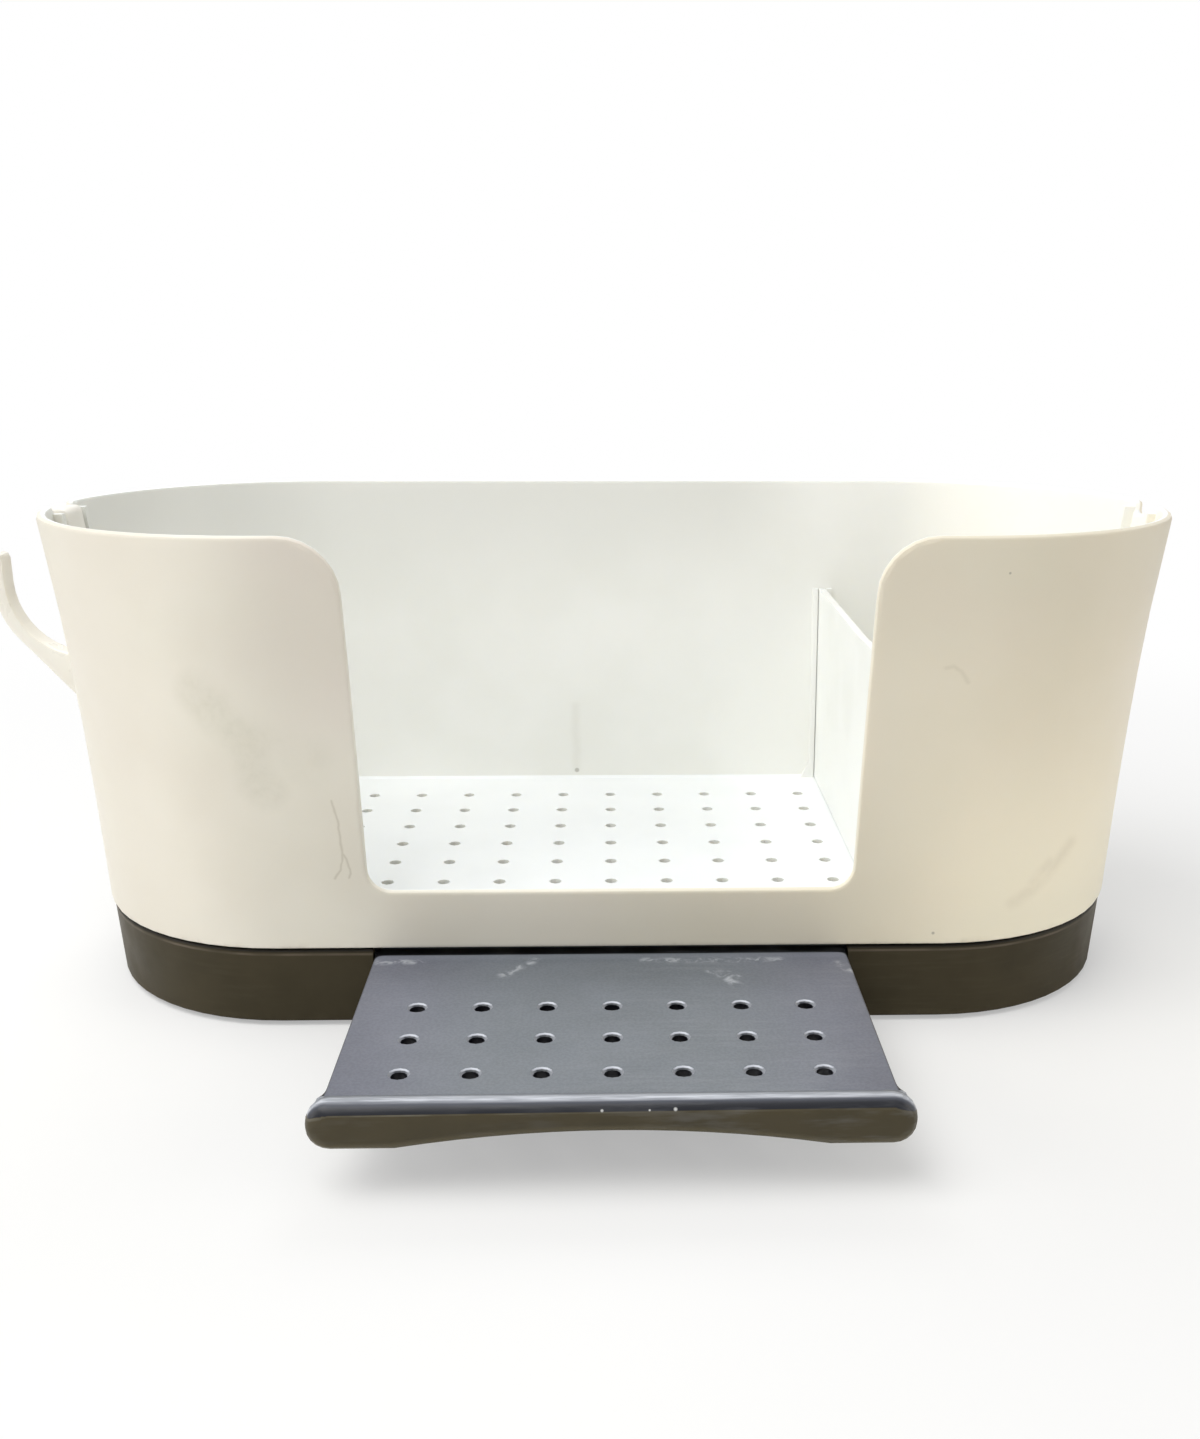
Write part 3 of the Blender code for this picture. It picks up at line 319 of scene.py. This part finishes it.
class Graph:
    """The node tree of a material or of the world, built by small calls."""

    def __init__(self, owner, output_kind="ShaderNodeOutputMaterial"):
        owner.use_nodes = True
        self.owner = owner
        self.tree = owner.node_tree
        self.tree.nodes.clear()
        self.output = self.tree.nodes.new(output_kind)
        self.shaken = None

    def set_input(self, node, key, value):
        if isinstance(value, bpy.types.NodeSocket):
            self.tree.links.new(value, node.inputs[key])
        elif value is not None:
            node.inputs[key].default_value = value

    def add(self, kind, inputs=None, **properties):
        node = self.tree.nodes.new(kind)
        for key, value in properties.items():
            setattr(node, key, value)
        for key, value in (inputs or {}).items():
            self.set_input(node, key, value)
        return node

    def show(self, shader):
        """Makes a shader node the tree's surface."""
        self.tree.links.new(shader.outputs[0], self.output.inputs["Surface"])

    def math(self, operation, first, second=None, clamp=False):
        inputs = {0: first, 1: second}
        return self.add("ShaderNodeMath", inputs, operation=operation, use_clamp=clamp).outputs[0]

    def vector(self, operation, first, second=None):
        node = self.add("ShaderNodeVectorMath", {0: first, 1: second}, operation=operation)
        is_number = operation in ("LENGTH", "DISTANCE", "DOT_PRODUCT")
        return node.outputs["Value" if is_number else "Vector"]

    def split(self, vector):
        return self.add("ShaderNodeSeparateXYZ", {0: vector}).outputs

    def axes(self):
        """The place's coordinates on the object by their letters."""
        return dict(zip("xyz", self.split(self.place)))

    def ramp(self, value, low, high, start=0.0, end=1.0, kind="SMOOTHSTEP"):
        inputs = {"Value": value, "From Min": low, "From Max": high, "To Min": start, "To Max": end}
        return self.add("ShaderNodeMapRange", inputs, interpolation_type=kind).outputs["Result"]

    def fade(self, value, name):
        """A named fade of a coordinate or of a part of the normal."""
        return self.ramp(value, *FADES[name])

    def noise(self, scale, detail, roughness=0.5, distortion=0.0, place=None):
        inputs = {"Vector": place or self.place, "Scale": scale, "Detail": detail,
                  "Roughness": roughness, "Distortion": distortion}
        return self.add("ShaderNodeTexNoise", inputs).outputs["Fac"]

    def pattern(self, name):
        """A named noise pattern."""
        scale, detail, roughness, distortion, *levels = PATTERNS[name]
        return self.ramp(self.noise(scale, detail, roughness, distortion), *levels)

    def stretched(self, name):
        """A named noise pattern that is drawn out along its axes."""
        scale, turn, low, high = STRETCHED[name]
        mapping = {"Vector": self.place, "Scale": scale, "Rotation": turn}
        place = self.add("ShaderNodeMapping", mapping).outputs["Vector"]
        noise = self.noise(1.0, STRETCHED_DETAIL, STRETCHED_ROUGHNESS, place=place)
        return self.ramp(noise, low, high)

    def combine(self, operation, masks):
        result = masks[0]
        for mask in masks[1:]:
            result = self.math(operation, result, mask)
        return result

    def product(self, *masks):
        """Masks and strengths multiplied."""
        return self.combine("MULTIPLY", masks)

    def strongest(self, masks):
        """The largest of several masks."""
        return self.combine("MAXIMUM", masks)

    def zone(self, axes, bounds):
        """Mask of a part of the object, bounded by fades in millimetres along its axes."""
        fades = [self.ramp(axes[letter], low * MM, high * MM) for letter, low, high in bounds]
        return self.product(*fades)

    def mix(self, factor, first, second):
        node = self.add("ShaderNodeMix", data_type="RGBA", blend_type="MIX")
        for socket, value in ((0, factor), (6, first), (7, second)):
            self.set_input(node, socket, value)
        return node.outputs[2]

    def drift(self, factor, name):
        """A named pair of colours, from one to the other by a mask."""
        first, second = DRIFTS[name]
        return self.mix(factor, srgb(*first), srgb(*second))

    def coat(self, under, mask, name):
        """A named coat of colour over another colour, where the mask is 1."""
        strength, colour = COATS[name]
        return self.mix(self.product(mask, strength), under, srgb(*colour))

    def spot(self, centre, radius, core):
        """1 at a place on the object, from a share of the radius fading to 0 at the radius."""
        away = self.vector("DISTANCE", self.place, tuple(value * MM for value in centre))
        return self.ramp(away, radius * core * MM, radius * MM, 1.0, 0.0)

    def shaken_place(self):
        """The place on the object, shaken so that strokes aren't straight as a ruler."""
        if self.shaken is None:
            inputs = {"Vector": self.place, "Scale": STROKE_SHAKE_SCALE}
            noise = self.add("ShaderNodeTexNoise", inputs)
            shake = self.vector("SUBTRACT", noise.outputs["Color"], (0.5, 0.5, 0.5))
            shake = self.vector("MULTIPLY", shake, (STROKE_SHAKE, STROKE_SHAKE, 0))
            self.shaken = self.vector("ADD", self.place, shake)
        return self.shaken

    def stroke(self, start, end, width):
        """1 on a straight line between two places in millimetres, fading to 0 at its width.

        Places given by x and height alone run on straight through the depth."""
        upright = len(start) == 2
        if upright:
            start, end = ((across, 0, height) for across, height in (start, end))
        first = Vector(start) * MM
        span = Vector(end) * MM - first
        away = self.vector("SUBTRACT", self.shaken_place(), tuple(first))
        if upright:
            away = self.vector("MULTIPLY", away, (1, 0, 1))
        along = self.vector("DOT_PRODUCT", away, tuple(span))
        along = self.math("DIVIDE", along, span.length_squared, clamp=True)
        inputs = {0: tuple(span), "Scale": along}
        nearest = self.add("ShaderNodeVectorMath", inputs, operation="SCALE").outputs[0]
        return self.ramp(self.vector("DISTANCE", away, nearest), 0.0, width * MM, 1.0, 0.0)

    def strokes(self, groups):
        """All the lines of several groups of strokes."""
        drawn = []
        for width, strength, lines in groups:
            parts = [part for line in lines for part in zip(line, line[1:])]
            masks = [self.stroke(start, end, width) for start, end in parts]
            drawn.append(self.product(self.strongest(masks), strength))
        return self.strongest(drawn)

    def spots(self, group):
        """All the spots of a group."""
        core, places = group
        return self.strongest([self.spot(centre, radius, core) for centre, radius in places])

    def relief(self, strength, grain, peel):
        """Normal of a moulded satin skin: fine spark grain over a slow orange peel."""
        fine = self.noise(grain, RELIEF_DETAIL, GRAIN_ROUGHNESS)
        slow = self.noise(peel, RELIEF_DETAIL)
        height = self.math("ADD", self.product(fine, GRAIN_SHARE), slow)
        inputs = {"Height": height, "Strength": strength, "Distance": RELIEF_DEPTH}
        return self.add("ShaderNodeBump", inputs).outputs["Normal"]

    def finish(self, skin, colour, wear=None, settings=None):
        """Joins colour, roughness and fine relief in one shader, and returns the material."""
        worn_rough, strength, grain, peel = SKINS[skin]
        roughness = self.pattern(skin + "_satin")
        if wear is not None:
            roughness = self.math("ADD", roughness, self.product(wear, worn_rough))
        inputs = {"Base Color": colour, "Roughness": roughness,
                  "Normal": self.relief(strength, grain, peel)}
        inputs.update(settings or {})
        self.show(self.add("ShaderNodeBsdfPrincipled", inputs))
        return self.owner


def material_graph(name):
    """The tree of a new material, which also knows the place and the normal on the object."""
    graph = Graph(bpy.data.materials.new(name))
    coordinates = graph.add("ShaderNodeTexCoord").outputs
    graph.place = coordinates["Object"]
    graph.normal = coordinates["Normal"]
    return graph


def wiping(graph, name):
    """Fine stretched wiping marks in patches, from 0 to 1."""
    return graph.product(graph.stretched(name), graph.pattern("wiped_patches"))


def outward(graph, axes):
    """1 on the tub's outer wall, 0 on its inside and in its recesses."""
    limits = {0: axes["x"], 1: -ARC_CENTRE_X, 2: ARC_CENTRE_X}
    middle = graph.add("ShaderNodeClamp", limits).outputs[0]
    beside = {0: graph.math("SUBTRACT", axes["x"], middle), 1: axes["y"]}
    away = graph.add("ShaderNodeCombineXYZ", beside).outputs[0]
    facing = graph.vector("DOT_PRODUCT", graph.vector("NORMALIZE", away), graph.normal)
    skin = graph.ramp(axes["z"], SEAM_Z, RIM_Z, TUB_SKIN_LOW, TUB_SKIN_HIGH, "LINEAR")
    depth = graph.math("SUBTRACT", skin, graph.vector("LENGTH", away))
    near_skin = graph.ramp(depth, 0.0, TUB_SKIN_FADE, 1.0, 0.0)
    return graph.product(graph.fade(facing, "outward"), near_skin)


def tub_inside(graph, axes):
    """Cool white walls, painted shade under the rim and painted light at the right end, and the
    upward floor in cooler painted light.
    """
    _, _, upward = graph.split(graph.normal)
    mottle = graph.pattern("inner_drift")
    walls = graph.drift(mottle, "tub_inside")
    walls = graph.coat(walls, graph.zone(axes, INNER_SHADE), "inner_shade")
    # Painted light on the right end of the inner walls
    walls = graph.coat(walls, graph.fade(axes["x"], "painted_light_right_end_x"), "painted_light_right_end")
    # Faces that look up, the floor, painted in cooler light
    return graph.mix(graph.fade(upward, "tub_floor_up"), walls, graph.drift(mottle, "tub_floor"))


def tub_outside(graph, axes, front):
    """Ivory warmer to the right, painted shade beside the opening, at the left end and upper right,
    painted warm light low on the right, and a faint random tinge.
    """
    aged = graph.pattern("aged_drift")
    colour = graph.mix(graph.fade(axes["x"], "left_to_right_x"),
                       graph.drift(aged, "tub_left"), graph.drift(aged, "tub_right"))
    # Each of these is painted shade or painted light, laid over the ivory
    for strength, tone, only_front, bounds in OUTER_PAINTED_SHADE_AND_LIGHT:
        mask = graph.zone(axes, bounds)
        if only_front:
            mask = graph.product(mask, front)
        colour = graph.mix(graph.product(mask, strength), colour, srgb(*tone))
    return graph.coat(colour, graph.pattern("tinge"), "tinge")


def tub_marks(graph, axes, colour, outside, front):
    """Darkening along the seam, rubs, scratches and specks."""
    seam_darkening = graph.product(graph.fade(axes["z"], "seam_darkening_z"), graph.pattern("seam_darkening"))
    colour = graph.coat(colour, seam_darkening, "seam_darkening")
    cloud = graph.pattern("rub_cloud")
    rubs = graph.product(graph.strokes(FRONT_RUBS), cloud, front)
    colour = graph.coat(colour, rubs, "rub")
    smears = graph.product(graph.strokes(FRONT_SMEARS), cloud)
    on_front = graph.product(graph.strongest([graph.strokes(FRONT_SCRATCHES), smears]), front)
    back = graph.product(graph.math("SUBTRACT", 1.0, outside), graph.fade(axes["y"], "back_y"))
    on_back = graph.product(graph.strokes(BACK_SCRATCHES), back)
    colour = graph.coat(colour, graph.strongest([on_front, on_back]), "scratch")
    return graph.coat(colour, graph.spots(TUB_SPECKS), "speck")


def tub_material():
    """White plastic, ivory on its sun-aged outer wall, with painted shade and light, a few rubs and
    scratches.
    """
    graph = material_graph("tub_moulded_plastic")
    axes = graph.axes()
    outside = outward(graph, axes)
    front = graph.product(outside, graph.fade(axes["y"], "front_y"))
    colour = graph.mix(outside, tub_inside(graph, axes), tub_outside(graph, axes, front))
    colour = tub_marks(graph, axes, colour, outside, front)
    return graph.finish("tub", colour, wiping(graph, "tub_wiping"), GLOW_THROUGH)


def white_material(name):
    """Cleaner white plastic of the divider and the hook, a little wiped."""
    graph = material_graph(name + "_moulded_plastic")
    worn = wiping(graph, "white_wiping")
    colour = graph.coat(graph.drift(graph.pattern("white_drift"), name), worn, "white_wear")
    return graph.finish(name, colour, worn, GLOW_THROUGH)


def base_material():
    """Brownish charcoal: painted shade along the top edge over a painted highlight line, and dust
    along the foot.
    """
    graph = material_graph("base_charcoal_plastic")
    height = graph.axes()["z"]
    colour = graph.drift(graph.pattern("base_drift"), "base")
    # Painted shade along the top edge, in the seam under the tub
    colour = graph.coat(colour, graph.fade(height, "base_seam_shade_z"), "base_painted_seam_shade")
    # A painted highlight line on the top edge's rounding, broken in places
    top_edge_highlight = graph.product(graph.fade(height, "edge_highlight_lower_z"),
                              graph.fade(height, "edge_highlight_upper_z"),
                              graph.pattern("top_highlight_gaps"))
    colour = graph.coat(colour, top_edge_highlight, "base_painted_edge_highlight")
    dust = graph.product(graph.fade(height, "base_dust_z"), graph.pattern("base_dust"))
    colour = graph.coat(colour, dust, "base_dust")
    colour = graph.coat(colour, wiping(graph, "base_wiping"), "base_wear")
    return graph.finish("base", colour, settings=BASE_GLOSS)


def tray_bead(graph, across, rearward, upward, tone):
    """The bar: warm charcoal face, painted lighter where it turns under, and a bead on top with a
    painted dark reflection on its forward side and a painted highlight along its top.
    """
    face = graph.drift(tone, "tray_body")
    # Downward faces painted lighter
    face = graph.coat(face, graph.fade(upward, "underside_up"), "bar_underside_painted_light")
    # Painted dark reflection on the bead's forward side
    painted_shade_band = graph.drift(graph.fade(rearward, "slope_rear"), "bead_painted_shade")
    # Painted highlight along the top of the bead, in streaks, dimmer towards its rear
    streaks = graph.drift(graph.stretched("crest_streak"), "bead_painted_highlight")
    painted_highlight_band = graph.mix(graph.fade(rearward, "crest_streaks_rear"), srgb(*BEAD_REAR_PAINTED_SHEEN), streaks)
    bead = graph.mix(graph.fade(rearward, "crest_rear"), painted_shade_band, painted_highlight_band)
    bead = graph.mix(graph.fade(upward, "bead_up"), face, bead)
    line = graph.product(graph.fade(upward, "worn_line_lower_up"),
                         graph.fade(upward, "worn_line_upper_up"),
                         graph.stretched("worn_line_gaps"),
                         graph.fade(across, "worn_line_x"))
    return graph.coat(bead, line, "bar_worn_line")


def tray_painted_sheen(graph, across, tone):
    """The pale painted sheen on the flat top, neutral in the middle and bluish at the sides."""
    sides = graph.fade(graph.math("ABSOLUTE", across), "painted_sheen_sides_x")
    painted_sheen = graph.mix(sides, graph.drift(tone, "painted_sheen_middle"), graph.drift(tone, "painted_sheen_sides"))
    return graph.coat(painted_sheen, graph.pattern("painted_sheen_speckle"), "painted_sheen_speckle")


def tray_painted_rear_shadow(graph, axes):
    """A narrow line of painted shadow, rounded at its ends, where the tray comes out of the base.
    """
    from_side = graph.math("ABSOLUTE", axes["x"])
    inset = {0: graph.math("SUBTRACT", from_side, TRAY_HALF_WIDTH - SHADE_RADIUS),
             1: graph.math("SUBTRACT", axes["y"], SHADE_Y - SHADE_RADIUS)}
    corner = graph.add("ShaderNodeCombineXYZ", inset).outputs[0]
    reach = graph.vector("LENGTH", graph.vector("MAXIMUM", corner, (0, 0, 0)))
    beyond = graph.math("SUBTRACT", reach, SHADE_RADIUS)
    return graph.product(graph.fade(beyond, "rear_shadow_edge"), graph.fade(axes["y"], "rear_shadow_end_y"))


def tray_plate(graph, axes, normal, tone):
    """The drained plate: painted sheen on top, painted shade on its sides and in its holes, painted
    highlights on lips and edges, and painted light and shadow at its rear.
    """
    sideways, rearward, upward = normal
    top = graph.fade(upward, "tray_top_up")
    # Painted sheen on faces that look up, painted shade on the sides and in the holes
    plate = graph.mix(top, srgb(*TRAY_PAINTED_SHADE_SIDES), tray_painted_sheen(graph, axes["x"], tone))
    # Painted highlights where hole lips and rounded side edges would catch light
    edges = graph.product(graph.fade(upward, "edge_lower_up"), graph.fade(upward, "edge_upper_up"))
    lip = graph.product(graph.fade(rearward, "hole_lip_rear"), graph.fade(axes["z"], "hole_lip_z"))
    side = graph.fade(graph.math("ABSOLUTE", sideways), "side_edge_sideways")
    side = graph.product(side, SIDE_EDGE_STRENGTH)
    lip_and_edge_highlight = graph.product(edges, graph.strongest([lip, side]))
    plate = graph.coat(plate, lip_and_edge_highlight, "tray_painted_edge_highlight")
    # Painted light across the rear of the plate, then the painted shadow line
    plate = graph.coat(plate, graph.fade(axes["y"], "rear_painted_light_y"), "tray_rear_painted_light")
    return graph.coat(plate, tray_painted_rear_shadow(graph, axes), "tray_painted_rear_shadow")


def tray_material():
    """Warm charcoal on its front, a paler painted sheen on its flat top, painted highlights on its
    edges.
    """
    graph = material_graph("tray_charcoal_plastic_painted_light")
    axes = graph.axes()
    normal = graph.split(graph.normal)
    tone = graph.pattern("tray_drift")
    bead = tray_bead(graph, axes["x"], normal[1], normal[2], tone)
    colour = graph.mix(graph.fade(axes["y"], "bar_y"), tray_plate(graph, axes, normal, tone), bead)
    # Scuff marks, and painted light along the rear edge
    scuff_marks_and_painted_light = graph.product(graph.strokes(TRAY_SCUFFS_AND_PAINTED_LIGHT), graph.pattern("scuff_gaps"))
    colour = graph.coat(colour, scuff_marks_and_painted_light, "tray_scuff_and_painted_light")
    colour = graph.coat(colour, wiping(graph, "tray_wiping"), "tray_wear")
    colour = graph.coat(colour, graph.spots(BAR_CHIPS), "tray_chip")
    return graph.finish("tray", colour, settings=TRAY_GLOSS)


def rubber_material():
    """Matt rubber of the feet."""
    graph = material_graph("foot_rubber_matt")
    colour = graph.drift(graph.noise(*RUBBER_MOTTLE), "rubber")
    return graph.finish("rubber", colour)


def add_object(name, data):
    added = bpy.data.objects.new(name, data)
    bpy.context.scene.collection.objects.link(added)
    return added


def add_mesh_object(name, bm):
    """Turns a bmesh, which is freed, into an object."""
    mesh = bpy.data.meshes.new(name)
    bm.to_mesh(mesh)
    bm.free()
    return add_object(name, mesh)


def smooth_faces(node):
    """Round faces shade as one, and edges sharper than the limit stay crisp."""
    node.data.shade_smooth()
    weld = node.modifiers.new("weld", "WELD")
    weld.merge_threshold = WELD_REACH
    edges = node.modifiers.new("crisp_edges", "EDGE_SPLIT")
    edges.split_angle = SMOOTH_BELOW
    edges.use_edge_sharp = False
    normals = node.modifiers.new("even_normals", "WEIGHTED_NORMAL")
    normals.keep_sharp = True


def fill_again(bm, level, facing):
    """Takes the flat faces out of one upright plane of the bar and fills their outlines anew."""
    flat = [face for face in bm.faces
            if all(abs(vert.co.y - level) < WELD_REACH for vert in face.verts)]
    bmesh.ops.delete(bm, geom=flat, context="FACES")
    rim = [edge for edge in bm.edges if edge.is_boundary]
    bmesh.ops.triangle_fill(bm, use_beauty=True, edges=rim, normal=(0, facing, 0))


def neat_tray():
    """The tray that is shown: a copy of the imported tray's mesh with the two flat faces of its
    bar filled anew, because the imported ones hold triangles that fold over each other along
    the grip's arch."""
    node = NODES["pull_out_tray"]
    bm = bmesh.new()
    bm.from_mesh(node.data)
    bmesh.ops.transform(bm, matrix=node.matrix_world, verts=bm.verts)
    bmesh.ops.remove_doubles(bm, verts=bm.verts, dist=TRAY_WELD)
    fill_again(bm, BAR_FRONT_Y, -1)
    fill_again(bm, BAR_BACK_Y, 1)
    tray = add_mesh_object("drawn_tray", bm)
    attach(tray, "tray")
    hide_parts("pull_out_tray")
    return tray


def dress_nodes():
    """Gives each node its material; the feet, which aren't named here, are rubber."""
    rubber = rubber_material()
    looks = {"caddy_tub": tub_material(), "divider": white_material("divider"),
             "side_hook": white_material("hook"), "base_housing": base_material(),
             "drawn_tray": tray_material()}
    shown = dict(NODES, drawn_tray=neat_tray())
    del shown["pull_out_tray"]
    for name, node in shown.items():
        node.data.materials.clear()
        node.data.materials.append(looks.get(name, rubber))
        smooth_faces(node)


def make_camera():
    """The photograph's camera, turned by its yaw and pitch and then rolled."""
    level = math.cos(CAMERA_PITCH)
    ahead = Vector((math.sin(CAMERA_YAW) * level, math.cos(CAMERA_YAW) * level,
                    -math.sin(CAMERA_PITCH)))
    right = Vector((math.cos(CAMERA_YAW), -math.sin(CAMERA_YAW), 0))
    down = ahead.cross(right)
    rolled_right = math.cos(CAMERA_ROLL) * right + math.sin(CAMERA_ROLL) * down
    rolled_down = -math.sin(CAMERA_ROLL) * right + math.cos(CAMERA_ROLL) * down
    turn = Matrix((rolled_right, -rolled_down, -ahead)).transposed()
    data = bpy.data.cameras.new("photo_camera")
    data.sensor_fit = "HORIZONTAL"
    data.sensor_width = CAMERA_SENSOR
    data.lens = CAMERA_LENS
    data.shift_x, data.shift_y = CAMERA_SHIFT
    data.clip_start = CAMERA_NEAR
    data.clip_end = CAMERA_FAR
    camera = add_object("photo_camera", data)
    camera.matrix_world = Matrix.Translation(CAMERA_PLACE) @ turn.to_4x4()
    bpy.context.scene.camera = camera


def area_lamp(name, place, size, power, colour):
    data = bpy.data.lights.new(name, "AREA")
    data.shape = "RECTANGLE"
    data.size, data.size_y = size
    data.energy = power
    data.color = colour
    lamp = add_object(name, data)
    lamp.location = place
    lamp.rotation_mode = "QUATERNION"
    lamp.rotation_quaternion = (Vector(LAMP_AIM) - Vector(place)).to_track_quat("-Z", "Y")


def make_studio():
    """Lamps, and a dim world that the camera, gloss and glass see as plain white."""
    world = bpy.data.worlds.new("studio_world")
    bpy.context.scene.world = world
    graph = Graph(world, "ShaderNodeOutputWorld")
    path = graph.add("ShaderNodeLightPath").outputs
    rays = ("Is Camera Ray", "Is Glossy Ray", "Is Transmission Ray")
    white_share = graph.strongest([path[ray] for ray in rays])
    dim = graph.add("ShaderNodeBackground", {"Color": AMBIENT_TONE, "Strength": AMBIENT})
    bright = graph.add("ShaderNodeBackground", {"Color": WHITE, "Strength": 1.0})
    shaders = {0: white_share, 1: dim.outputs[0], 2: bright.outputs[0]}
    graph.show(graph.add("ShaderNodeMixShader", shaders))
    for lamp in LAMPS:
        area_lamp(*lamp)


def make_floor():
    """A pale floor that keeps the shadow near the object and glows white farther off."""
    bm = bmesh.new()
    bmesh.ops.create_grid(bm, x_segments=1, y_segments=1, size=FLOOR_SIZE)
    floor = add_mesh_object("studio_floor", bm)
    floor.location = (0, 0, FLOOR_LEVEL)
    graph = material_graph("studio_floor_white")
    distance = graph.vector("LENGTH", graph.place)
    seen = graph.add("ShaderNodeLightPath").outputs["Is Camera Ray"]
    glow_share = graph.product(seen, graph.fade(distance, "floor_glow"))
    lit = graph.add("ShaderNodeBsdfDiffuse", {"Color": FLOOR_TONE})
    glow = graph.add("ShaderNodeEmission", {"Color": WHITE, "Strength": 1.0})
    shaders = {0: glow_share, 1: lit.outputs[0], 2: glow.outputs[0]}
    graph.show(graph.add("ShaderNodeMixShader", shaders))
    floor.data.materials.append(graph.owner)


scene = bpy.context.scene
scene.view_settings.view_transform = "Standard"
dress_nodes()
make_camera()
make_studio()
make_floor()
